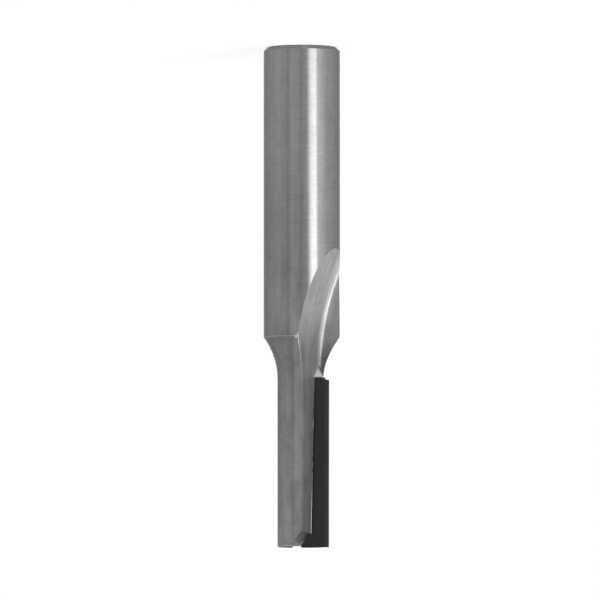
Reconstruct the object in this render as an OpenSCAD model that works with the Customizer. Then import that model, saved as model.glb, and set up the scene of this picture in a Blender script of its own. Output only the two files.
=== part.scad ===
// Straight router bit with one brazed cutting tip, in millimetres.
// The flat end of the shank stands at z = 0 on the bit's own axis, and +Z runs to the cutting end.
// The cutting edge is on the -X side, and its rake face looks to -Y.

/* [Shank] */
// Diameter of the shank that the collet grips
shank_d = 12.7; // [10:0.1:16]
// Length of the full shank, from its flat end to the neck
shank_len = 48.2; // [36:0.1:52]
// Chamfer round the flat end of the shank
shank_chamfer = 0.65; // [0.2:0.05:2]

/* [Neck and cutting body] */
// Length of the whole bit
overall_len = 83; // [80:0.5:100]
// Diameter of the body that holds the tip
body_d = 8.1; // [7:0.1:9]
// Radius of the sweep from the body out to the shank
neck_sweep_r = 11.6; // [5:0.1:20]
// Bevel round the cutting end of the body
end_bevel = 0.15; // [0.05:0.05:0.8]
// How far the end of the body stays behind the end of the tip
end_setback = 0.06; // [0.02:0.02:0.6]

/* [Flute] */
// Distance of the flute's inner corner from the axis, towards the cutting edge
flute_offset = 2.91; // [2:0.01:3.4]
// Distance of that corner behind the middle of the bit
flute_depth = 2.25; // [1:0.01:2.5]
// Lean of the flute's square corner about the axis
flute_lean = 25.2; // [15:0.2:35]
// Radius in the flute's inner corner
flute_corner_r = 0.4; // [0.1:0.05:0.8]
// Radius of the sweep in which the flute runs out into the shank
flute_run_r = 48; // [30:0.1:70]
// Angle at which the flute swings forwards as it runs out
flute_swing = 12; // [0:1:20]

/* [Cutting tip] */
// Diameter that the edge cuts
cut_d = 9.1; // [8.7:0.1:10.4]
// Length of the tip along the bit
tip_len = 28.25; // [20:0.25:30]
// Thickness of the tip
tip_thick = 1.3; // [0.8:0.1:1.8]
// Lean of the rake face towards the cut
tip_shear = 2.5; // [0:0.1:5]
// Distance of the rake face behind the axis, at the tip's upper end
rake_set = 0.45; // [-0.2:0.05:0.8]
// Reach of the tip past the axis
tip_past_axis = 0.1; // [0:0.05:0.5]
// Clearance angle behind the long edge
edge_relief = 12; // [4:1:20]
// Clearance angle behind the end edge
end_relief = 7; // [2:1:15]
// Height of the step ground into the tip's upper outer corner
tip_step = 0.43; // [0.1:0.01:1]
// Distance of that step from the axis
tip_step_x = 3.5; // [3:0.01:4]
// Radius of the tip's upper corner, inside the step
tip_corner_r = 0.35; // [0.1:0.05:0.6]

/* [Gash at the end] */
// Height of the gash above the end of the bit, on the axis
gash_mouth = 0.58; // [0.2:0.02:1.5]
// Angle of the gash to the axis
gash_angle = 42; // [25:1:60]
// Angle at which the gash opens forwards
gash_flare = 21; // [5:1:40]
// Depth to which the gash runs past the rake face
gash_over = 0.15; // [0.05:0.05:0.4]
// How far the gash runs on past the middle of the end
gash_past = 0.02; // [0.02:0.02:1]
// Width of the shallow notch across the end
notch_w = 1.5; // [0.5:0.1:2.5]
// Depth of that notch
notch_depth = 0.24; // [0.1:0.02:0.6]

/* [Braze] */
// Thickness of the braze round the tip
braze_film = 0.1; // [0.04:0.01:0.2]
// How far the braze has run up the flute's corner
braze_climb = 2.5; // [0.5:0.1:4]
// Width of the braze on the flute's wall, at the tip's upper end
braze_wall = 0.75; // [0.3:0.05:1.2]
// Radius of the bead along the tip's front corner
bead_r = 0.12; // [0.1:0.01:0.2]
// Distance of the bead's axis inwards from that corner, and as far behind it
bead_set = 0.05; // [0.04:0.01:0.08]

/* [Hidden] */

shank_r = shank_d / 2;
body_r = body_d / 2;
cut_r = cut_d / 2;

// The sweep is tangent to the body, and meets the shank at a corner
sweep_drop = shank_r - body_r;
sweep_len = sqrt(pow(neck_sweep_r, 2) - pow(neck_sweep_r - sweep_drop, 2));
body_end_z = overall_len - end_setback;

// A length past every face, for the bodies that only cut
reach = 4 * shank_r;

// Facets round a full turn: of the turned faces, of the wide sweeps and of the small corners
round_fn = 128;
wheel_fn = 360;
corner_fn = 48;

// Arc of the flute's run-out, enough to leave the shank on every size
run_angle = 75;

// The tip's upper end, and the depth of the rake face at a height
tip_z = overall_len - tip_len;
function rake_y(z) = rake_set - (z - tip_z) * tan(tip_shear);
end_rake_y = rake_y(overall_len);

// The long edge lies on the cutting circle at both its ends
edge_top_x = sqrt(pow(cut_r, 2) - pow(rake_set, 2));
edge_end_x = sqrt(pow(cut_r, 2) - pow(end_rake_y, 2));
edge_taper = atan((edge_top_x - edge_end_x) / tip_len);

// The flute's floor meets the rake face along a straight corner
function floor_x(y) = -flute_offset + (flute_depth - y) * tan(flute_lean);
function front_corner(z) = [floor_x(rake_y(z)), rake_y(z), z];

// Length of the gash along its own line, from the axis until it is clear of the end at the front
gash_clear_z = (gash_mouth - end_setback) * cos(tip_shear);
gash_clear_y = (body_r + end_rake_y) * sin(tip_shear);
gash_len = (gash_clear_z + gash_clear_y) * cos(gash_angle) + gash_past;

// Half sections of what is turned: radius across, height up
module shank_section() {
    polygon([
        [0, 0],
        [shank_r - shank_chamfer, 0],
        [shank_r, shank_chamfer],
        [shank_r, shank_len],
        [0, shank_len]
    ]);
}

module body_section() {
    polygon([
        [0, shank_chamfer],
        [body_r, shank_chamfer],
        [body_r, body_end_z - end_bevel],
        [body_r - end_bevel, body_end_z],
        [0, body_end_z]
    ]);
}

module sweep_section() {
    difference() {
        translate([0, shank_len])
            square([shank_r, sweep_len]);
        translate([body_r + neck_sweep_r, shank_len + sweep_len])
            circle(r = neck_sweep_r, $fn = wheel_fn);
    }
}

// Plain bar of the cutting body, which also runs up inside the sweep and the shank
module body_bar() {
    rotate_extrude($fn = round_fn)
        body_section();
}

// Shank, sweep and body as turned from the bar
module turned_body() {
    rotate_extrude($fn = round_fn)
        shank_section();
    rotate_extrude($fn = round_fn)
        sweep_section();
    body_bar();
}

// Square that the flute takes out, seen along the bit, and placed out from the axis of the run-out.
// Its rounded corner is the flute's inner corner
module flute_section() {
    translate([flute_run_r, 0])
        rotate(flute_lean - flute_swing) {
            translate([-reach, -reach])
                square([reach - flute_corner_r, reach]);
            translate([-reach, -reach])
                square([reach, reach - flute_corner_r]);
            translate([-flute_corner_r, -flute_corner_r])
                circle(r = flute_corner_r, $fn = corner_fn);
        }
}

// Places a child on the axis of the run-out, level with the tip's upper end
module on_sweep_axis() {
    translate([-flute_offset, flute_depth, tip_z])
        rotate(flute_swing)
            translate([-flute_run_r, 0, 0])
                children();
}

// Upper flute: the section swept about that axis, so that it runs out into the shank
module flute_runout() {
    on_sweep_axis()
        rotate([-90, 0, 0])
            rotate_extrude(angle = run_angle, $fn = wheel_fn)
                flute_section();
}

// Straight flute beside the tip
module flute_straight() {
    on_sweep_axis()
        linear_extrude(tip_len + reach)
            flute_section();
}

// Places a child in the tip's own frame: X to the axis, Y into the tip, Z along it
module on_rake_face() {
    translate([0, rake_set, tip_z])
        rotate([tip_shear, 0, 0])
            children();
}

// Everything in front of a plane that lies at this depth in the tip's frame
module in_front(depth) {
    on_rake_face()
        translate([-reach, depth - 2 * reach, -reach])
            cube([2 * reach, 2 * reach, tip_len + 2 * reach]);
}

// Outline of the tip on its rake face, with its stepped and rounded upper corner
module tip_outline(grow) {
    long = tip_len + reach;
    inner = tip_past_axis + grow;
    translate([-reach, tip_step - grow])
        square([reach + inner, long]);
    translate([tip_corner_r - tip_step_x, -grow])
        square([tip_step_x - tip_corner_r + inner, long]);
    translate([-tip_step_x - grow, tip_corner_r])
        square([tip_step_x + inner, long]);
    translate([tip_corner_r - tip_step_x, tip_corner_r])
        circle(r = tip_corner_r + grow, $fn = corner_fn);
}

// The tip's plate, not yet ground, or with the braze round it the slot that it sits in.
// A lead carries the plate on past its rake face
module tip_blank(grow, lead = 0) {
    on_rake_face()
        translate([0, tip_thick + grow, 0])
            rotate([90, 0, 0])
                linear_extrude(tip_thick + grow + lead)
                    tip_outline(grow);
}

// Stock outside the long edge, ground off at the clearance angle
module edge_stock() {
    on_rake_face()
        translate([-edge_top_x, 0, 0])
            rotate([0, edge_taper, 0])
                rotate([0, 0, -edge_relief])
                    translate([-2 * reach, -reach, -reach])
                        cube([2 * reach, 2 * reach, tip_len + 3 * reach]);
}

// Stock past the end edge, ground off at the end clearance angle
module end_stock() {
    translate([0, end_rake_y, overall_len])
        rotate([-end_relief, 0, 0])
            translate([-reach, -reach, 0])
                cube([2 * reach, 2 * reach, 3 * reach]);
}

// Gash that opens the flute to the middle of the end
module end_gash() {
    intersection() {
        in_front(gash_over);
        translate([0, end_rake_y, overall_len - gash_mouth])
            rotate([tip_shear, 0, 0])
                rotate([0, gash_angle, 0])
                    rotate([0, 0, gash_flare])
                        translate([-reach, -reach, -reach])
                            cube([reach, 2 * reach, reach + gash_len]);
    }
}

// Shallow notch across the end, beside the inner end of the tip
module end_notch() {
    translate([0, -reach, body_end_z - notch_depth])
        cube([notch_w, 2 * reach, notch_depth + reach]);
}

// Everything behind the plane through three points, which run anticlockwise seen from its front
module behind_plane(a, b, c) {
    normal = cross(b - a, c - a);
    translate(a)
        rotate([0, acos(normal.z / norm(normal)), atan2(normal.y, normal.x)])
            translate([-reach, -reach, -reach])
                cube([2 * reach, 2 * reach, reach]);
}

// Rod between two points
module rod(a, b, r) {
    way = b - a;
    translate(a)
        rotate([0, acos(way.z / norm(way)), atan2(way.y, way.x)])
            cylinder(r = r, h = norm(way), $fn = 32);
}

// Braze that has run up the corner of the flute, above the tip
module braze_wedge() {
    on_corner = [-flute_offset, flute_depth, tip_z - braze_climb];
    // Far enough in front of the rake face to cover the bead's upper end
    front_y = rake_set - 2 * bead_r + bead_set;
    on_floor = [floor_x(front_y), front_y, tip_z];
    on_wall = [
        -flute_offset - braze_wall * cos(flute_lean),
        flute_depth - braze_wall * sin(flute_lean),
        tip_z
    ];
    intersection() {
        flute_runout();
        body_bar();
        behind_plane(on_corner, on_floor, on_wall);
    }
}

// Bead along the corner between the flute's floor and the rake face
module braze_bead() {
    inward = [bead_set, bead_set, 0];
    difference() {
        intersection() {
            rod(front_corner(tip_z - bead_r) + inward, front_corner(overall_len) + inward, bead_r);
            flute_straight();
            in_front(0);
            body_bar();
        }
        end_gash();
        end_notch();
    }
}

// Braze behind, above and beside the tip, inside its slot
module braze_layer() {
    difference() {
        intersection() {
            tip_blank(braze_film);
            body_bar();
        }
        tip_blank(0, lead = reach);
        end_stock();
    }
}

module shank_body() {
    color([0.55, 0.55, 0.54])
        difference() {
            turned_body();
            flute_runout();
            intersection() {
                flute_straight();
                in_front(tip_thick / 2);
            }
            tip_blank(braze_film);
            end_gash();
            end_notch();
        }
}

module cutting_tip() {
    color([0.17, 0.17, 0.18])
        difference() {
            tip_blank(0);
            edge_stock();
            end_stock();
        }
}

module braze_joint() {
    color([0.78, 0.76, 0.70])
        union() {
            braze_layer();
            braze_wedge();
            braze_bead();
        }
}

shank_body();
cutting_tip();
braze_joint();
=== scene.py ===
import math

import bpy
from bpy.props import FloatProperty, FloatVectorProperty, PointerProperty
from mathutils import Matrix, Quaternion, Vector

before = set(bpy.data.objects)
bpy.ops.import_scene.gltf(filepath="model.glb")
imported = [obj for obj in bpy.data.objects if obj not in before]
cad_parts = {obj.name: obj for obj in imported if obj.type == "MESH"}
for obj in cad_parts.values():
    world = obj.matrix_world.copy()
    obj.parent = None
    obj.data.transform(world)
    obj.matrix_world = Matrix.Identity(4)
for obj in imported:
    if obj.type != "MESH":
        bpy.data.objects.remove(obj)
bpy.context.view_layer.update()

bl_info = {
    "name": "Router Bit Finishes",
    "version": (1, 0, 0),
    "blender": (4, 5, 0),
    "location": "3D View > Sidebar > Router Bit",
    "description": "Finishes and a small studio for a straight router bit with one brazed tip",
    "category": "Object",
}


# Sizes of the part's source that the finishes follow, in metres and radians. Heights run up from the
# flat end of the shank
LENGTH = 0.083
SHANK_CHAMFER = 0.00065
FLUTE_OFFSET = 0.00291
FLUTE_DEPTH = 0.00225
FLUTE_LEAN = math.radians(25.2)
FLUTE_SWING = math.radians(12)
FLUTE_RUN_R = 0.048
TIP_TOP = LENGTH - 0.02825
TIP_SHEAR = math.radians(2.5)
RAKE_SET = 0.00045

# Heights close to the start of the end's bevel, a little short of the end face, and where the gash meets
# the seam of the tip
END_BEVEL = 0.08277
END_FACE = 0.0829
GASH_START = 0.0802

# The gash and nearly all of the end face lie within this radius, and the turned faces outside it
END_RADIUS = 0.00388

# A point this close to the flute's own surfaces counts as cut by its wheel
FLUTE_SLACK = 0.00001

# Half the height over which one look gives way to the next at a chamfer or bevel
BLEND = 0.00005

# Width of the solder that shows on the gash, in front of the rake face
SOLDER_RIM = 0.00035

# A point of the axis about which the wheel swept the flute, and the way that axis runs
WHEEL_CENTRE = (
    -FLUTE_OFFSET - FLUTE_RUN_R * math.cos(FLUTE_SWING),
    FLUTE_DEPTH - FLUTE_RUN_R * math.sin(FLUTE_SWING),
    TIP_TOP,
)
WHEEL_AXIS = (-math.sin(FLUTE_SWING), math.cos(FLUTE_SWING), 0)

# How far behind the bit's axis the rake face would lie at the flat end of the shank
RAKE_FOOT = RAKE_SET + TIP_TOP * math.tan(TIP_SHEAR)

# The seam between the tip and the flute's floor shifts sideways by SEAM_LEAN for each step up the bit,
# and would cross the flat end of the shank at SEAM_FOOT
SEAM_LEAN = math.tan(TIP_SHEAR) * math.tan(FLUTE_LEAN)
SEAM_FOOT = -FLUTE_OFFSET + (FLUTE_DEPTH - RAKE_SET) * math.tan(FLUTE_LEAN) - TIP_TOP * SEAM_LEAN

# The painted shadow line on the tip lies between these distances to either side of the seam
SEAM_SHADOW = (-0.0006, 0.0004)

# Where the flute's edge crosses the shank's lower edge, and the distances from there at which the painted
# glint on the burr is gone and full
EDGE_CORNER = (0.00092, -0.0062, 0.04834)
BURR_GLINT = (0.00042, 0.00015)

# Pairs of heights between which a look grows or fades along the bit
STAINS_DEEPEN = (0.028, 0.044)
FLOOR_GLINT_GROWS = (0.038, 0.046)
TOWARD_TIP_GROWS = (0.04, 0.06)
TINT_NARROWS = (0.047, 0.0485)
CORNER_HIGHLIGHT_FADES = (0.049, 0.052)
RIM_PALES = (0.052, 0.055)
FLUTE_DARKENS = (0.067, 0.076)
FLUX_RUN = (TIP_TOP - 0.00075, TIP_TOP + 0.02925)

# Pairs of places from side to side, in the same way: the tint ends, and the tip's painted highlight along
# its cutting edge begins
TINT_ENDS = (-0.0012, 0.0002)
TIP_EDGE_GLINT = (-0.0037, -0.0040)

# From front to back, the flute's paler front rim ends: painted light, beside the floor's painted shade by
# the tip
RIM_ENDS = (-0.004, -0.0029)

# Pairs of places on the flute's floor, as distances before its wall: the painted highlight and the painted
# glint by the inner corner, and the softened corner
CORNER_HIGHLIGHT = (-0.0035, 0.0)
FLOOR_GLINT = (-0.002, 0.0)
SOFTENED = (-0.0013, -0.0008)

# Past the shank the tint draws back from the tip's side by this much
TINT_STEP = 0.0014

# How often each pattern repeats in a metre, along X, Y and Z. The streaks of the polish are 0.45 mm wide
# and 11 mm long, and the short marks 0.4 mm wide and 1.4 mm long. Real ones are finer and wouldn't show
POLISH_STREAKS = (2200, 2200, 90)
SHORT_MARKS = (700, 700, 2400)
NICKS = (1100, 1100, 1100)
SOLDER_FLOW = (1400, 1400, 1400)

# How often in a metre the marks of each wheel repeat along their own length
SHANK_MARKS_ALONG = 120
FLUTE_MARKS_ALONG = 60
TIP_MARKS_ALONG = 80

# How often the stains repeat along the bit, as a share of how often they do across it
STAINS_ALONG = 0.45

# Share of the polish in the marks on the turned faces
POLISH_SHARE = 0.8

# The room's brightness by its angle round the bit, in degrees from the camera towards the strip light
ROOM_WALLS = (
    (-180, 1.0),
    (-150, 0.97),
    (-120, 0.9),
    (-95, 0.94),
    (-72, 1.04),
    (-61, 0.93),
    (-48, 0.9),
    (-42, 0.72),
    (-36, 0.98),
    (-25, 1.04),
    (-16, 0.96),
    (-8, 0.92),
    (-2.5, 0.78),
    (4, 0.93),
    (13, 1.0),
    (18, 1.6),
    (23, 3.0),
    (31, 3.6),
    (43.5, 3.85),
    (46, 2.15),
    (60, 1.7),
    (80, 1.15),
    (115, 1.0),
    (128, 0.9),
    (145, 1.0),
    (180, 1.0),
)
ROOM_BRIGHTEST = max(level for _, level in ROOM_WALLS)

# Width of the camera's sensor, in millimetres
SENSOR_WIDTH = 36


def linear(hex_code):
    """Linear RGBA of an sRGB hex value such as #808080."""
    channels = [int(hex_code[i : i + 2], 16) / 255 for i in (1, 3, 5)]
    curved = [c / 12.92 if c <= 0.04045 else ((c + 0.055) / 1.055) ** 2.4 for c in channels]
    return (*curved, 1.0)


def colour_property(name, description, hex_code):
    return FloatVectorProperty(
        name=name, description=description, subtype="COLOR", size=4, min=0, max=1, default=linear(hex_code)
    )


def length_property(name, description, metres):
    return FloatProperty(
        name=name, description=description, unit="LENGTH", min=0.00001, default=metres, precision=5
    )


def angle_property(name, description, degrees):
    return FloatProperty(name=name, description=description, subtype="ANGLE", default=math.radians(degrees))


def share_property(name, description, share):
    return FloatProperty(name=name, description=description, subtype="FACTOR", min=0, max=1, default=share)


class RouterBitFinish(bpy.types.PropertyGroup):
    """Colours, roughness and grinding marks of the bit's three metals."""

    steel: colour_property("Steel", "Colour of the ground steel", "#828282")
    flute_steel: colour_property("Flute steel", "Colour of the freshly ground flute", "#9C9C9C")
    # Painted highlight: the pale colour of the edge glints round the neck, at the burr and along the end's
    # bevel
    edge_glint: colour_property("Worn edge", "Colour of the rubbed edges round the neck", "#CACACA")
    gash_steel: colour_property("Gash steel", "Colour of the small gash in the end", "#5C5C5C")
    # Painted shade: the end face is painted dark for the dark that it reflects
    end_shade: colour_property("End steel", "Colour of the end, left dark by the brazing heat", "#3A3A3A")
    steel_rim: colour_property("Steel rim", "Tint of the steel where it turns away", "#C5C5C5")
    carbide: colour_property("Carbide", "Colour of the dark cutting tip", "#2C2C2C")
    carbide_rim: colour_property("Carbide rim", "Tint of the tip where it turns away", "#6A6A6A")
    braze: colour_property("Braze", "Colour of the silver solder", "#B4B3B1")
    flux: colour_property("Flux stain", "Colour that the burnt flux leaves on the solder", "#3E3E3D")
    shank_roughness: share_property("Shank roughness", "Roughness of the turned faces", 0.14)
    flute_roughness: share_property("Flute roughness", "Roughness of the flute", 0.42)
    stretch: share_property("Stretch", "How far the marks draw out a highlight across them", 0.8)
    shank_marks: length_property("Shank marks", "Spacing of the grinding marks round the shank", 0.0003)
    flute_marks: length_property("Flute marks", "Spacing of the wheel marks along the flute", 0.0008)
    tip_marks: length_property("Tip marks", "Spacing of the diamond wheel's marks on the tip", 0.0003)
    stains: length_property("Stains", "Size of the faint stains on the steel", 0.0022)
    hollow: length_property("Hollow", "Radius over which the flute's inner corner is softened", 0.0007)
    edge_break: length_property("Edge break", "Radius of the broken edges", 0.00015)


class RouterBitStudio(bpy.types.PropertyGroup):
    """Camera, lamp and floor."""

    distance: length_property("Camera distance", "From the camera to the middle of the bit", 1.5)
    elevation: angle_property("Camera elevation", "Height of the camera above the level line", 3.3)
    view_width: length_property("View width", "Width of the picture at the bit", 0.09944)
    aim_side: length_property("Aim", "How far right of the bit's axis the camera aims", 0.000306)
    aim_height: length_property("Aim height", "Height on the bit at which the camera aims", 0.04198)
    key_azimuth: angle_property("Key azimuth", "Angle of the strip light, from the camera", 34.0)
    key_width: angle_property("Key width", "Angle that the strip light covers", 18.0)
    key_distance: length_property("Key distance", "From the strip light to the bit", 0.6)
    key_height: length_property("Key height", "Length of the strip light from end to end", 0.9)
    key_foot: length_property("Key foot", "From the floor to the strip light's lower end", 0.005)
    key_strength: FloatProperty(name="Key strength", description="Radiance of the strip light", default=1.6)
    floor: colour_property("Floor", "Colour of the pale floor", "#F6F6F5")
    floor_white: share_property("Floor white", "Share of plain white in the floor for the camera", 0.8)
    floor_width: length_property("Floor width", "Width of the floor", 12.0)


def add_node(tree, kind, settings=None, inputs=None, stops=None):
    """Adds a node, sets its properties, fills its sockets and sets a ramp's stops.

    A socket goes by its name, or by its number among those that the settings leave in use. It takes a
    value, a link from a socket, or a link from the first socket in use of a node."""
    node = tree.nodes.new(kind)
    for name, value in (settings or {}).items():
        setattr(node, name, value)
    sockets = [socket for socket in node.inputs if socket.enabled]
    names = [socket.name for socket in sockets]
    for key, value in (inputs or {}).items():
        socket = sockets[key if isinstance(key, int) else names.index(key)]
        if isinstance(value, bpy.types.Node):
            value = next(output for output in value.outputs if output.enabled)
        if isinstance(value, bpy.types.NodeSocket):
            tree.links.new(value, socket)
        else:
            socket.default_value = value
    for index, (place, level) in enumerate(stops or ()):
        elements = node.color_ramp.elements
        element = elements[index] if index < 2 else elements.new(place)
        element.position = place
        element.color = (level, level, level, 1)
    return node


def new_material(name):
    """An empty node material, and its tree."""
    material = bpy.data.materials.new(name)
    material.use_nodes = True
    material.node_tree.nodes.clear()
    return material, material.node_tree


def place_on_piece(tree):
    """The place on the piece, whole and as its three coordinates."""
    place = add_node(tree, "ShaderNodeTexCoord").outputs["Object"]
    return place, add_node(tree, "ShaderNodeSeparateXYZ", inputs={0: place}).outputs


def dress(node_name, material):
    """Puts a material on a CAD node."""
    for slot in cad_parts[node_name].material_slots:
        slot.material = material


def soft_pattern(tree, place, repeats, detail, roughness):
    """A soft random pattern from 0 to 1, drawn out along the axes on which it repeats less often."""
    scaled = add_node(tree, "ShaderNodeMapping", inputs={"Vector": place, "Scale": repeats})
    return add_node(
        tree,
        "ShaderNodeTexNoise",
        inputs={"Vector": scaled, "Scale": 1.0, "Detail": detail, "Roughness": roughness},
    )


def flute_section(tree, place):
    """The place in the flute's own section, and the arm to the place from the axis of the wheel.

    X runs through the flute's floor into the steel, Y through its wall and Z along it, so X and Y are below
    0 in the hollow. Beside the tip the flute is straight, so there the arm stays level."""
    arm = add_node(tree, "ShaderNodeVectorMath", {"operation": "SUBTRACT"}, {0: place, 1: WHEEL_CENTRE})
    arm = add_node(tree, "ShaderNodeVectorMath", {"operation": "MINIMUM"}, {0: arm, 1: (1, 1, 0)})
    swung = add_node(
        tree,
        "ShaderNodeMapping",
        {"vector_type": "TEXTURE"},
        {"Vector": arm, "Rotation": (0, 0, FLUTE_SWING)},
    )
    swung = add_node(tree, "ShaderNodeSeparateXYZ", inputs={0: swung}).outputs
    reach = add_node(tree, "ShaderNodeCombineXYZ", inputs={"X": swung["X"], "Z": swung["Z"]})
    reach = add_node(tree, "ShaderNodeVectorMath", {"operation": "LENGTH"}, {0: reach})
    section = add_node(
        tree, "ShaderNodeCombineXYZ", inputs={"X": reach, "Y": swung["Y"], "Z": swung["Z"]}
    )
    section = add_node(
        tree,
        "ShaderNodeMapping",
        {"vector_type": "TEXTURE"},
        {"Vector": section, "Location": (FLUTE_RUN_R, 0, 0), "Rotation": (0, 0, FLUTE_LEAN - FLUTE_SWING)},
    )
    return section, arm


def steel_marks(tree, place, section, fluted, finish):
    """Marks from 0 to 1. On the turned faces the wheel's run round the bit, under a last polish that left
    faint streaks along it. In the flute they run the way its own wheel went."""
    by_wheel = (SHANK_MARKS_ALONG, SHANK_MARKS_ALONG, 1 / finish.shank_marks)
    by_wheel = soft_pattern(tree, place, by_wheel, 2.0, 0.5)
    by_polish = soft_pattern(tree, place, POLISH_STREAKS, 4.0, 0.7)
    turned = add_node(
        tree,
        "ShaderNodeMix",
        {"data_type": "FLOAT"},
        {"Factor": POLISH_SHARE, "A": by_wheel, "B": by_polish},
    )
    in_flute = (1 / finish.flute_marks, 1 / finish.flute_marks, FLUTE_MARKS_ALONG)
    in_flute = soft_pattern(tree, section, in_flute, 3.0, 0.6)
    return add_node(
        tree, "ShaderNodeMix", {"data_type": "FLOAT"}, {"Factor": fluted, "A": turned, "B": in_flute}
    )


def marks_direction(tree, place, arm, fluted):
    """The way the marks run: round the bit, or in the flute round the axis of its wheel."""
    round_bit = add_node(
        tree, "ShaderNodeVectorMath", {"operation": "CROSS_PRODUCT"}, {0: (0, 0, 1), 1: place}
    )
    round_wheel = add_node(
        tree, "ShaderNodeVectorMath", {"operation": "CROSS_PRODUCT"}, {0: WHEEL_AXIS, 1: arm}
    )
    return add_node(
        tree, "ShaderNodeMix", {"data_type": "VECTOR"}, {"Factor": fluted, "A": round_bit, "B": round_wheel}
    )


def steel_shade(tree, place, along, fluted, marks, finish):
    """How light all of the steel is, around 1: uneven marks, stains, nicks, a tinted side and painted shade
    on the chamfer.
    """
    # Each mark is a little lighter or darker than the next
    spread = add_node(tree, "ShaderNodeMapRange", inputs={"Value": fluted, "To Min": 0.5, "To Max": 0.6})
    uneven = add_node(tree, "ShaderNodeMath", {"operation": "SUBTRACT"}, {0: marks, 1: 0.5})
    uneven = add_node(tree, "ShaderNodeMath", {"operation": "MULTIPLY_ADD"}, {0: uneven, 1: spread, 2: 1.0})

    # Faint stains, stronger towards the neck, where the heat of brazing reached
    stains = (1 / finish.stains, 1 / finish.stains, STAINS_ALONG / finish.stains)
    stains = soft_pattern(tree, place, stains, 4.0, 0.6)
    darkest = add_node(
        tree,
        "ShaderNodeMapRange",
        inputs={
            "Value": along["Z"],
            "From Min": STAINS_DEEPEN[0],
            "From Max": STAINS_DEEPEN[1],
            "To Min": 0.95,
            "To Max": 0.8,
        },
    )
    stained = add_node(
        tree,
        "ShaderNodeMapRange",
        inputs={"Value": stains, "From Min": 0.33, "From Max": 0.56, "To Min": darkest, "To Max": 1.03},
    )

    # A few bright nicks from collets and drawers
    nicks = soft_pattern(tree, place, NICKS, 1.0, 0.5)
    nicked = add_node(
        tree,
        "ShaderNodeMapRange",
        inputs={"Value": nicks, "From Min": 0.76, "From Max": 0.82, "To Min": 1.0, "To Max": 1.35},
    )

    # Short soft marks round the turned faces, left where the polish missed them
    short = soft_pattern(tree, place, SHORT_MARKS, 2.0, 0.6)
    mottled = add_node(
        tree,
        "ShaderNodeMapRange",
        inputs={"Value": short, "From Min": 0.25, "From Max": 0.75, "To Min": 0.93, "To Max": 1.07},
    )

    # The side away from the tip is darker, from the middle of the shank to the tip
    share = add_node(tree, "ShaderNodeMapRange", inputs={"Value": along["Z"], "From Max": LENGTH})
    tint = add_node(
        tree,
        "ShaderNodeValToRGB",
        inputs={0: share},
        stops=[
            (0.2, 1.0),
            (0.3, 0.92),
            (0.36, 0.87),
            (0.48, 0.9),
            (0.57, 0.98),
            (0.59, 0.8),
            (0.67, 0.8),
            (0.72, 0.9),
            (0.92, 1.0),
        ],
    )
    drawn_back = add_node(
        tree,
        "ShaderNodeMapRange",
        inputs={
            "Value": along["Z"],
            "From Min": TINT_NARROWS[0],
            "From Max": TINT_NARROWS[1],
            "To Max": -TINT_STEP,
        },
    )
    aside = add_node(tree, "ShaderNodeMath", {"operation": "ADD"}, {0: along["X"], 1: drawn_back})
    untinted = add_node(
        tree,
        "ShaderNodeMapRange",
        inputs={
            "Value": aside,
            "From Min": TINT_ENDS[0],
            "From Max": TINT_ENDS[1],
            "To Min": 1.0,
            "To Max": 0.0,
        },
    )
    untinted = add_node(tree, "ShaderNodeMath", {"operation": "MAXIMUM"}, {0: untinted, 1: fluted})
    tinted = add_node(
        tree, "ShaderNodeMix", {"data_type": "FLOAT"}, {"Factor": untinted, "A": tint, "B": 1.0}
    )

    # The chamfer at the shank's end is painted darker, as painted shade for the darker view that it
    # reflects
    chamfer_shade = add_node(
        tree,
        "ShaderNodeMapRange",
        inputs={
            "Value": along["Z"],
            "From Min": SHANK_CHAMFER - BLEND,
            "From Max": SHANK_CHAMFER + BLEND,
            "To Min": 0.88,
            "To Max": 1.0,
        },
    )

    shade = uneven
    for factor in (stained, nicked, mottled, tinted, chamfer_shade):
        shade = add_node(tree, "ShaderNodeMath", {"operation": "MULTIPLY"}, {0: shade, 1: factor})
    return shade


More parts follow.
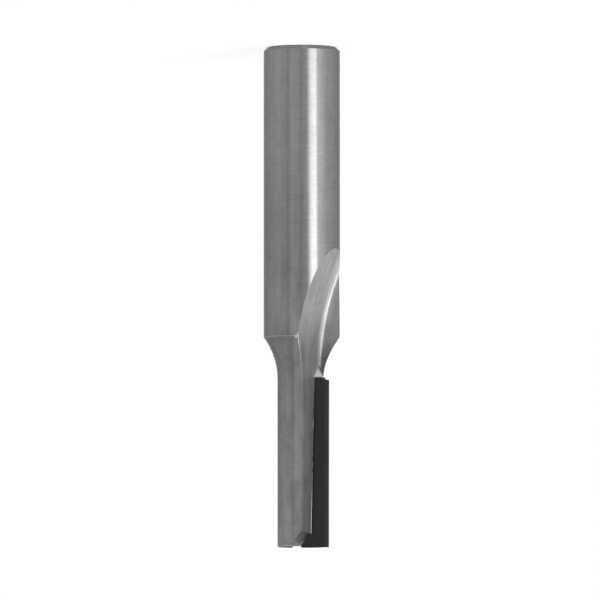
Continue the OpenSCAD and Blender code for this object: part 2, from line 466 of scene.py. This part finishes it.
def flute_shade(tree, along, across, toward_tip, walled):
    """How light the flute is beside the rest, all of it painted light and shade. It is painted bright where
    the wheel ran out, with a painted highlight beside its inner corner, and painted shade darkens it beside
    the tip, the wall more than the floor."""
    # Painted shade beside the tip, on the floor and more on the wall
    floor_shade = add_node(
        tree,
        "ShaderNodeValToRGB",
        inputs={0: toward_tip},
        stops=[(0.2, 1.0), (0.33, 0.85), (0.46, 0.65), (0.56, 0.55), (0.8, 0.49)],
    )
    wall_shade = add_node(
        tree,
        "ShaderNodeValToRGB",
        inputs={0: toward_tip},
        stops=[(0.1, 0.85), (0.4, 0.82), (0.58, 0.42), (0.8, 0.36)],
    )
    floor_and_wall_shade = add_node(
        tree,
        "ShaderNodeMix",
        {"data_type": "FLOAT"},
        {"Factor": walled, "A": floor_shade, "B": wall_shade},
    )

    # A painted highlight brightens the floor towards the inner corner, much less beside the tip
    to_corner = add_node(
        tree,
        "ShaderNodeMapRange",
        inputs={"Value": across["Y"], "From Min": CORNER_HIGHLIGHT[0], "From Max": CORNER_HIGHLIGHT[1]},
    )
    to_corner = add_node(tree, "ShaderNodeMath", {"operation": "POWER"}, {0: to_corner, 1: 2.0})
    above_tip = add_node(
        tree,
        "ShaderNodeMapRange",
        inputs={
            "Value": along["Z"],
            "From Min": CORNER_HIGHLIGHT_FADES[0],
            "From Max": CORNER_HIGHLIGHT_FADES[1],
            "To Min": 1.0,
            "To Max": 0.1,
        },
    )
    on_floor = add_node(
        tree, "ShaderNodeMapRange", inputs={"Value": walled, "To Min": above_tip, "To Max": 0.0}
    )
    corner_highlight = add_node(
        tree, "ShaderNodeMath", {"operation": "MULTIPLY_ADD"}, {0: to_corner, 1: on_floor, 2: 1.0}
    )

    # A painted glint along the floor close to that corner, stronger towards the tip
    by_corner = add_node(
        tree,
        "ShaderNodeMapRange",
        inputs={"Value": across["Y"], "From Min": FLOOR_GLINT[0], "From Max": FLOOR_GLINT[1]},
    )
    floor_glint = add_node(
        tree,
        "ShaderNodeValToRGB",
        inputs={0: by_corner},
        stops=[(0.2, 0.0), (0.62, 1.0), (0.76, 0.85), (0.9, 0.1)],
    )
    nearer_tip = add_node(
        tree,
        "ShaderNodeMapRange",
        inputs={"Value": along["Z"], "From Min": FLOOR_GLINT_GROWS[0], "From Max": FLOOR_GLINT_GROWS[1]},
    )
    floor_glint = add_node(tree, "ShaderNodeMath", {"operation": "MULTIPLY"}, {0: nearer_tip, 1: floor_glint})
    off_wall = add_node(tree, "ShaderNodeMath", {"operation": "SUBTRACT"}, {0: 1.0, 1: walled})
    corner_highlight = add_node(
        tree, "ShaderNodeMath", {"operation": "MULTIPLY_ADD"}, {0: floor_glint, 1: off_wall, 2: corner_highlight}
    )

    # Painted light and shade: beside the tip its front rim is paler than the rest of the floor, and towards
    # the end all of it is darker
    paler = add_node(
        tree,
        "ShaderNodeMapRange",
        inputs={
            "Value": along["Z"],
            "From Min": RIM_PALES[0],
            "From Max": RIM_PALES[1],
            "To Min": 1.0,
            "To Max": 1.27,
        },
    )
    rim = add_node(
        tree,
        "ShaderNodeMapRange",
        inputs={
            "Value": along["Y"],
            "From Min": RIM_ENDS[0],
            "From Max": RIM_ENDS[1],
            "To Min": paler,
            "To Max": 1.0,
        },
    )
    darkened = add_node(
        tree,
        "ShaderNodeMapRange",
        inputs={
            "Value": along["Z"],
            "From Min": FLUTE_DARKENS[0],
            "From Max": FLUTE_DARKENS[1],
            "To Min": 1.0,
            "To Max": 0.85,
        },
    )

    shade = floor_and_wall_shade
    for factor in (corner_highlight, rim, darkened):
        shade = add_node(tree, "ShaderNodeMath", {"operation": "MULTIPLY"}, {0: shade, 1: factor})
    return shade


def rounded_edges_and_glints(tree, place, toward_tip, finish):
    """The way the steel faces with its edges rounded, and how strong a painted glint shows there. The edges
    are rounded and glint where the shank and the flute's side meet the neck, and are crisp elsewhere."""
    # How strongly the edges glint, as painted highlight, which also sets how far they are rounded
    glinting = add_node(
        tree,
        "ShaderNodeValToRGB",
        inputs={0: toward_tip},
        stops=[(0.37, 0.2), (0.4, 1.0), (0.48, 0.75), (0.56, 0.5), (0.66, 0.42), (0.75, 0.03)],
    )
    radius = add_node(
        tree, "ShaderNodeMath", {"operation": "MULTIPLY"}, {0: glinting, 1: finish.edge_break}
    )
    rounded = add_node(tree, "ShaderNodeBevel", {"samples": 6}, {"Radius": radius})
    facing = add_node(tree, "ShaderNodeNewGeometry").outputs["Normal"]
    # The painted glint goes where the rounded edge turns away from the face
    edge = add_node(tree, "ShaderNodeVectorMath", {"operation": "DOT_PRODUCT"}, {0: rounded, 1: facing})
    edge = add_node(
        tree, "ShaderNodeMapRange", inputs={"Value": edge, "From Min": 0.995, "From Max": 0.96}
    )
    edge = add_node(tree, "ShaderNodeMath", {"operation": "MULTIPLY"}, {0: edge, 1: glinting})

    # A painted glint on a burr at the corner where two of these edges cross
    burr_glint = add_node(tree, "ShaderNodeVectorMath", {"operation": "DISTANCE"}, {0: place, 1: EDGE_CORNER})
    burr_glint = add_node(
        tree,
        "ShaderNodeMapRange",
        inputs={"Value": burr_glint, "From Min": BURR_GLINT[0], "From Max": BURR_GLINT[1], "To Max": 0.75},
    )
    glints = add_node(tree, "ShaderNodeMath", {"operation": "MAXIMUM"}, {0: edge, 1: burr_glint})
    return rounded, glints


def soft_hollow(tree, across, fluted, walled, rounded, finish):
    """The way the steel faces with the flute's inner corner flowing softly into the floor, not the wall."""
    hollow = add_node(
        tree,
        "ShaderNodeMapRange",
        inputs={"Value": across["Y"], "From Min": SOFTENED[0], "From Max": SOFTENED[1]},
    )
    hollow = add_node(tree, "ShaderNodeMath", {"operation": "MULTIPLY"}, {0: hollow, 1: fluted})
    hollow = add_node(
        tree,
        "ShaderNodeMath",
        {"operation": "MULTIPLY_ADD", "use_clamp": True},
        {0: walled, 1: -1.0, 2: hollow},
    )
    softened = add_node(tree, "ShaderNodeBevel", {"samples": 8}, {"Radius": finish.hollow})
    return add_node(
        tree, "ShaderNodeMix", {"data_type": "VECTOR"}, {"Factor": hollow, "A": rounded, "B": softened}
    )


def end_masks(tree, place, along, fluted):
    """Where the end's bevel, the gash, the rim of solder on it and the end face are. The bevel takes a
    painted glint and the end face a painted shade.

    The middle of the shank's flat end, on which the bit stands, takes the looks of the gash and its rim
    too."""
    # The end's bevel takes a painted glint
    bevelled = add_node(
        tree,
        "ShaderNodeMapRange",
        inputs={
            "Value": along["Z"],
            "From Min": END_BEVEL - BLEND,
            "From Max": END_BEVEL + BLEND,
            "To Max": 0.6,
        },
    )
    outward = add_node(tree, "ShaderNodeVectorMath", {"operation": "MULTIPLY"}, {0: place, 1: (1, 1, 0)})
    outward = add_node(tree, "ShaderNodeVectorMath", {"operation": "LENGTH"}, {0: outward})
    inside = add_node(tree, "ShaderNodeMath", {"operation": "LESS_THAN"}, {0: outward, 1: END_RADIUS})
    gashed = add_node(
        tree,
        "ShaderNodeMath",
        {"operation": "MULTIPLY_ADD", "use_clamp": True},
        {0: fluted, 1: -1.0, 2: inside},
    )
    behind_rake = add_node(
        tree,
        "ShaderNodeMath",
        {"operation": "MULTIPLY_ADD"},
        {0: along["Z"], 1: math.tan(TIP_SHEAR), 2: along["Y"]},
    )
    soldered = add_node(
        tree, "ShaderNodeMath", {"operation": "GREATER_THAN"}, {0: behind_rake, 1: RAKE_FOOT - SOLDER_RIM}
    )
    soldered = add_node(tree, "ShaderNodeMath", {"operation": "MULTIPLY"}, {0: soldered, 1: gashed})
    # The end face takes its painted shade
    ended = add_node(tree, "ShaderNodeMath", {"operation": "GREATER_THAN"}, {0: along["Z"], 1: END_FACE})
    return bevelled, gashed, soldered, ended


def ground_steel(finish):
    """Tool steel, ground all over. On the turned surfaces the wheel's marks run round the bit, so lights
    show on them as long clean stripes. The flute has coarser marks along it and a paler, duller face, with
    painted light and shade. The gash in the end was ground by hand, duller than the flute, and the end face
    is painted dark, as painted shade for the dark that it reflects."""
    material, tree = new_material("ground_steel")
    place, along = place_on_piece(tree)
    section, arm = flute_section(tree, place)
    across = add_node(tree, "ShaderNodeSeparateXYZ", inputs={0: section}).outputs
    outermost = add_node(tree, "ShaderNodeMath", {"operation": "MAXIMUM"}, {0: across["X"], 1: across["Y"]})
    fluted = add_node(tree, "ShaderNodeMath", {"operation": "LESS_THAN"}, {0: outermost, 1: FLUTE_SLACK})
    walled = add_node(
        tree, "ShaderNodeMath", {"operation": "GREATER_THAN"}, {0: across["Y"], 1: across["X"]}
    )
    toward_tip = add_node(
        tree,
        "ShaderNodeMapRange",
        inputs={"Value": along["Z"], "From Min": TOWARD_TIP_GROWS[0], "From Max": TOWARD_TIP_GROWS[1]},
    )
    marks = steel_marks(tree, place, section, fluted, finish)
    rounded, glints = rounded_edges_and_glints(tree, place, toward_tip, finish)
    bevelled, gashed, soldered, ended = end_masks(tree, place, along, fluted)

    # The flute's colour carries its painted light and shade
    flute_colour = add_node(
        tree,
        "ShaderNodeVectorMath",
        {"operation": "SCALE"},
        {"Vector": finish.flute_steel[:3], "Scale": flute_shade(tree, along, across, toward_tip, walled)},
    )
    # The glints on the edges, the burr and the end's bevel are painted highlights, and the dark end face is
    # painted shade
    layers = (
        (fluted, flute_colour),
        (glints, finish.edge_glint),
        (bevelled, finish.edge_glint),
        (gashed, finish.gash_steel),
        (soldered, finish.flute_steel),
        (ended, finish.end_shade),
    )
    colour = finish.steel
    for mask, layer in layers:
        colour = add_node(
            tree, "ShaderNodeMix", {"data_type": "RGBA"}, {"Factor": mask, "A": colour, "B": layer}
        )
    shade = steel_shade(tree, place, along, fluted, marks, finish)
    colour = add_node(
        tree, "ShaderNodeVectorMath", {"operation": "SCALE"}, {"Vector": colour, "Scale": shade}
    )

    roughness = add_node(
        tree,
        "ShaderNodeMapRange",
        inputs={"Value": fluted, "To Min": finish.shank_roughness, "To Max": finish.flute_roughness},
    )
    for mask, rougher in ((ended, 0.55), (gashed, 0.35), (marks, 0.05)):
        roughness = add_node(
            tree,
            "ShaderNodeMath",
            {"operation": "MULTIPLY_ADD", "use_clamp": True},
            {0: mask, 1: rougher, 2: roughness},
        )
    # The end face, in painted shade, is given no metal, so nothing bright shows on it
    metal = add_node(tree, "ShaderNodeMath", {"operation": "SUBTRACT"}, {0: 1.0, 1: ended})
    shaped = soft_hollow(tree, across, fluted, walled, rounded, finish)
    bumped = add_node(
        tree,
        "ShaderNodeBump",
        inputs={"Strength": 0.25, "Distance": 0.00001, "Height": marks, "Normal": shaped},
    )
    shader = add_node(
        tree,
        "ShaderNodeBsdfPrincipled",
        inputs={
            "Base Color": colour,
            "Metallic": metal,
            "Roughness": roughness,
            "Anisotropic": finish.stretch,
            "Anisotropic Rotation": 0.25,
            "Specular IOR Level": 0.0,
            "Specular Tint": finish.steel_rim,
            "Normal": bumped,
            "Tangent": marks_direction(tree, place, arm, fluted),
        },
    )
    add_node(tree, "ShaderNodeOutputMaterial", inputs={"Surface": shader})
    return material


def seam_shadow(tree, along):
    """A painted shadow line on the tip beside the solder, as far as the gash."""
    from_seam = add_node(
        tree,
        "ShaderNodeMath",
        {"operation": "MULTIPLY_ADD"},
        {0: along["Z"], 1: -SEAM_LEAN, 2: along["X"]},
    )
    from_seam = add_node(
        tree,
        "ShaderNodeMapRange",
        inputs={
            "Value": from_seam,
            "From Min": SEAM_FOOT + SEAM_SHADOW[0],
            "From Max": SEAM_FOOT + SEAM_SHADOW[1],
        },
    )
    line = add_node(
        tree,
        "ShaderNodeValToRGB",
        inputs={0: from_seam},
        stops=[(0.2, 1.0), (0.4, 0.55), (0.6, 0.5), (0.75, 1.0)],
    )
    past_gash = add_node(
        tree, "ShaderNodeMath", {"operation": "GREATER_THAN"}, {0: along["Z"], 1: GASH_START}
    )
    return add_node(tree, "ShaderNodeMath", {"operation": "MAXIMUM"}, {0: line, 1: past_gash})


def dark_carbide(finish):
    """Tungsten carbide, diamond ground: near black, with fine marks along the tip, a low sheen and a paler
    strip of painted highlight along its cutting edge, where its narrow relief catches the light."""
    material, tree = new_material("dark_carbide")
    place, along = place_on_piece(tree)
    marks = (1 / finish.tip_marks, 1 / finish.tip_marks, TIP_MARKS_ALONG)
    marks = soft_pattern(tree, place, marks, 3.0, 0.6)
    shade = add_node(
        tree,
        "ShaderNodeMapRange",
        inputs={"Value": marks, "From Min": 0.3, "From Max": 0.7, "To Min": 0.9, "To Max": 1.1},
    )
    # Painted highlight: a paler strip along the cutting edge
    tip_edge_glint = add_node(
        tree,
        "ShaderNodeMapRange",
        inputs={
            "Value": along["X"],
            "From Min": TIP_EDGE_GLINT[0],
            "From Max": TIP_EDGE_GLINT[1],
            "To Min": 1.0,
            "To Max": 1.4,
        },
    )
    # The seam's painted shadow darkens the tip beside the solder
    for factor in (tip_edge_glint, seam_shadow(tree, along)):
        shade = add_node(tree, "ShaderNodeMath", {"operation": "MULTIPLY"}, {0: shade, 1: factor})
    colour = add_node(
        tree, "ShaderNodeVectorMath", {"operation": "SCALE"}, {"Vector": finish.carbide[:3], "Scale": shade}
    )
    roughness = add_node(
        tree,
        "ShaderNodeMapRange",
        inputs={"Value": marks, "From Min": 0.3, "From Max": 0.7, "To Min": 0.36, "To Max": 0.46},
    )
    rounded = add_node(tree, "ShaderNodeBevel", {"samples": 6}, {"Radius": finish.edge_break})
    bumped = add_node(
        tree,
        "ShaderNodeBump",
        inputs={"Strength": 0.3, "Distance": 0.00001, "Height": marks, "Normal": rounded},
    )
    shader = add_node(
        tree,
        "ShaderNodeBsdfPrincipled",
        inputs={
            "Base Color": colour,
            "Metallic": 1.0,
            "Roughness": roughness,
            "Specular Tint": finish.carbide_rim,
            "Normal": bumped,
        },
    )
    add_node(tree, "ShaderNodeOutputMaterial", inputs={"Surface": shader})
    return material


def silver_braze(finish):
    """Silver solder, frozen as it ran: bright and softly uneven where it pooled above the tip, and dulled
    by burnt flux along the thin bead beside it."""
    material, tree = new_material("silver_braze")
    place, along = place_on_piece(tree)
    flow = soft_pattern(tree, place, SOLDER_FLOW, 3.0, 0.55)
    share = add_node(
        tree,
        "ShaderNodeMapRange",
        inputs={"Value": along["Z"], "From Min": FLUX_RUN[0], "From Max": FLUX_RUN[1]},
    )
    ran = add_node(
        tree,
        "ShaderNodeValToRGB",
        inputs={0: share},
        stops=[
            (0.0, 0.0),
            (0.022, 0.0),
            (0.03, 1.0),
            (0.22, 1.0),
            (0.285, 0.7),
            (0.35, 1.0),
            (0.52, 1.0),
            (0.6, 0.87),
            (0.684, 0.55),
            (0.73, 0.39),
            (0.82, 0.32),
        ],
    )
    patches = add_node(
        tree,
        "ShaderNodeMapRange",
        inputs={"Value": flow, "From Min": 0.4, "From Max": 0.6, "To Min": 0.8, "To Max": 1.15},
    )
    burnt = add_node(
        tree, "ShaderNodeMath", {"operation": "MULTIPLY", "use_clamp": True}, {0: ran, 1: patches}
    )
    colour = add_node(
        tree,
        "ShaderNodeMix",
        {"data_type": "RGBA"},
        {"Factor": burnt, "A": finish.braze, "B": finish.flux},
    )
    roughness = add_node(
        tree, "ShaderNodeMapRange", inputs={"Value": burnt, "To Min": 0.34, "To Max": 0.6}
    )
    bumped = add_node(
        tree, "ShaderNodeBump", inputs={"Strength": 0.35, "Distance": 0.00006, "Height": flow}
    )
    shader = add_node(
        tree,
        "ShaderNodeBsdfPrincipled",
        inputs={"Base Color": colour, "Metallic": 1.0, "Roughness": roughness, "Normal": bumped},
    )
    add_node(tree, "ShaderNodeOutputMaterial", inputs={"Surface": shader})
    return material


class ROUTERBIT_OT_shank_body(bpy.types.Operator):
    """Give the shank and fluted body their ground steel"""

    bl_idname = "router_bit.shank_body"
    bl_label = "Ground Steel"

    def execute(self, context):
        dress("shank_body", ground_steel(context.scene.router_bit_finish))
        return {"FINISHED"}


class ROUTERBIT_OT_cutting_tip(bpy.types.Operator):
    """Give the cutting tip its dark carbide"""

    bl_idname = "router_bit.cutting_tip"
    bl_label = "Dark Carbide"

    def execute(self, context):
        dress("cutting_tip", dark_carbide(context.scene.router_bit_finish))
        return {"FINISHED"}


class ROUTERBIT_OT_braze_joint(bpy.types.Operator):
    """Give the braze its silver solder"""

    bl_idname = "router_bit.braze_joint"
    bl_label = "Silver Braze"

    def execute(self, context):
        dress("braze_joint", silver_braze(context.scene.router_bit_finish))
        return {"FINISHED"}


def strip_light(studio):
    """A tall soft light that stands at an angle from the camera, turned to the bit."""
    lamp = bpy.data.lights.new("key", "AREA")
    lamp.shape = "RECTANGLE"
    lamp.size = 2 * studio.key_distance * math.tan(studio.key_width / 2)
    lamp.size_y = studio.key_height
    lamp.energy = studio.key_strength * math.pi * lamp.size * lamp.size_y
    light = bpy.data.objects.new("key", lamp)
    bpy.context.scene.collection.objects.link(light)
    outward = Vector((-math.sin(studio.key_azimuth), -math.cos(studio.key_azimuth), 0))
    light.location = outward * studio.key_distance
    light.location.z = studio.key_height / 2 + studio.key_foot
    light.rotation_mode = "QUATERNION"
    light.rotation_quaternion = outward.to_track_quat("Z", "Y")


def studio_camera(studio):
    """The camera looks along +Y from a little above, turned over so that the shank is at the top."""
    data = bpy.data.cameras.new("camera")
    data.sensor_width = SENSOR_WIDTH
    data.lens = SENSOR_WIDTH * studio.distance / studio.view_width
    camera = bpy.data.objects.new("camera", data)
    bpy.context.scene.collection.objects.link(camera)
    back = Vector((0, -math.cos(studio.elevation), math.sin(studio.elevation)))
    camera.location = Vector((studio.aim_side, 0, studio.aim_height)) + back * studio.distance
    camera.rotation_mode = "QUATERNION"
    camera.rotation_quaternion = (-back).to_track_quat("-Z", "Y") @ Quaternion((0, 0, 1), math.pi)
    bpy.context.scene.camera = camera


def white_room():
    """A white room. The camera sees it as plain white. Steel also shows its brighter wall beside the strip
    light, and the two narrow gaps between its panels."""
    world = bpy.data.worlds.new("white_room")
    bpy.context.scene.world = world
    world.use_nodes = True
    tree = world.node_tree
    tree.nodes.clear()
    way = add_node(tree, "ShaderNodeTexCoord").outputs["Generated"]
    way = add_node(tree, "ShaderNodeVectorMath", {"operation": "SCALE"}, {"Vector": way, "Scale": -1.0})
    way = add_node(tree, "ShaderNodeSeparateXYZ", inputs={0: way}).outputs
    angle = add_node(tree, "ShaderNodeMath", {"operation": "ARCTAN2"}, {0: way["X"], 1: way["Y"]})
    turn = add_node(
        tree, "ShaderNodeMapRange", inputs={"Value": angle, "From Min": -math.pi, "From Max": math.pi}
    )
    walls = add_node(
        tree,
        "ShaderNodeValToRGB",
        inputs={0: turn},
        stops=[((degrees + 180) / 360, level / ROOM_BRIGHTEST) for degrees, level in ROOM_WALLS],
    )
    to_camera = add_node(tree, "ShaderNodeLightPath").outputs["Is Camera Ray"]
    plain_white = (1 / ROOM_BRIGHTEST,) * 3 + (1,)
    colour = add_node(
        tree, "ShaderNodeMix", {"data_type": "RGBA"}, {"Factor": to_camera, "A": walls, "B": plain_white}
    )
    room = add_node(
        tree, "ShaderNodeBackground", inputs={"Color": colour, "Strength": ROOM_BRIGHTEST}
    )
    add_node(tree, "ShaderNodeOutputWorld", inputs={"Surface": room})


def pale_floor(studio):
    """A plain floor. The camera sees most of it as white, and the rest keeps the shadow. In the metal the
    white room shows in its place."""
    bpy.ops.mesh.primitive_plane_add(size=studio.floor_width)
    floor = bpy.context.object
    floor.name = "floor"
    material, tree = new_material("pale_floor")
    ray = add_node(tree, "ShaderNodeLightPath").outputs
    whitened = add_node(
        tree, "ShaderNodeMath", {"operation": "MULTIPLY"}, {0: ray["Is Camera Ray"], 1: studio.floor_white}
    )
    paint = add_node(tree, "ShaderNodeBsdfDiffuse", inputs={"Color": studio.floor})
    white = add_node(tree, "ShaderNodeEmission", inputs={"Color": (1, 1, 1, 1), "Strength": 1.0})
    seen = add_node(tree, "ShaderNodeMixShader", inputs={0: whitened, 1: paint, 2: white})
    mirrored = add_node(
        tree,
        "ShaderNodeMath",
        {"operation": "MAXIMUM"},
        {0: ray["Is Glossy Ray"], 1: ray["Is Transmission Ray"]},
    )
    clear = add_node(tree, "ShaderNodeBsdfTransparent")
    seen = add_node(tree, "ShaderNodeMixShader", inputs={0: mirrored, 1: seen, 2: clear})
    add_node(tree, "ShaderNodeOutputMaterial", inputs={"Surface": seen})
    floor.data.materials.append(material)


class ROUTERBIT_OT_studio(bpy.types.Operator):
    """Set up the camera, the lamp, the white room and the floor"""

    bl_idname = "router_bit.studio"
    bl_label = "Studio"

    def execute(self, context):
        studio = context.scene.router_bit_studio
        studio_camera(studio)
        white_room()
        pale_floor(studio)
        strip_light(studio)
        context.scene.view_settings.view_transform = "Standard"
        return {"FINISHED"}


class ROUTERBIT_PT_panel(bpy.types.Panel):
    """Lists the bit's sizes, colours and steps."""

    bl_idname = "ROUTERBIT_PT_panel"
    bl_label = "Router Bit"
    bl_space_type = "VIEW_3D"
    bl_region_type = "UI"
    bl_category = "Router Bit"

    def draw(self, context):
        for group in (context.scene.router_bit_finish, context.scene.router_bit_studio):
            box = self.layout.box()
            for name in group.__annotations__:
                box.prop(group, name)
        for operator in OPERATORS:
            self.layout.operator(operator.bl_idname)


OPERATORS = (
    ROUTERBIT_OT_shank_body,
    ROUTERBIT_OT_cutting_tip,
    ROUTERBIT_OT_braze_joint,
    ROUTERBIT_OT_studio,
)
CLASSES = (RouterBitFinish, RouterBitStudio, *OPERATORS, ROUTERBIT_PT_panel)


def register():
    for cls in CLASSES:
        bpy.utils.register_class(cls)
    bpy.types.Scene.router_bit_finish = PointerProperty(type=RouterBitFinish)
    bpy.types.Scene.router_bit_studio = PointerProperty(type=RouterBitStudio)


def unregister():
    del bpy.types.Scene.router_bit_studio
    del bpy.types.Scene.router_bit_finish
    for cls in reversed(CLASSES):
        bpy.utils.unregister_class(cls)


def main():
    register()
    bpy.ops.router_bit.shank_body()
    bpy.ops.router_bit.cutting_tip()
    bpy.ops.router_bit.braze_joint()
    bpy.ops.router_bit.studio()


if __name__ == "__main__":
    main()
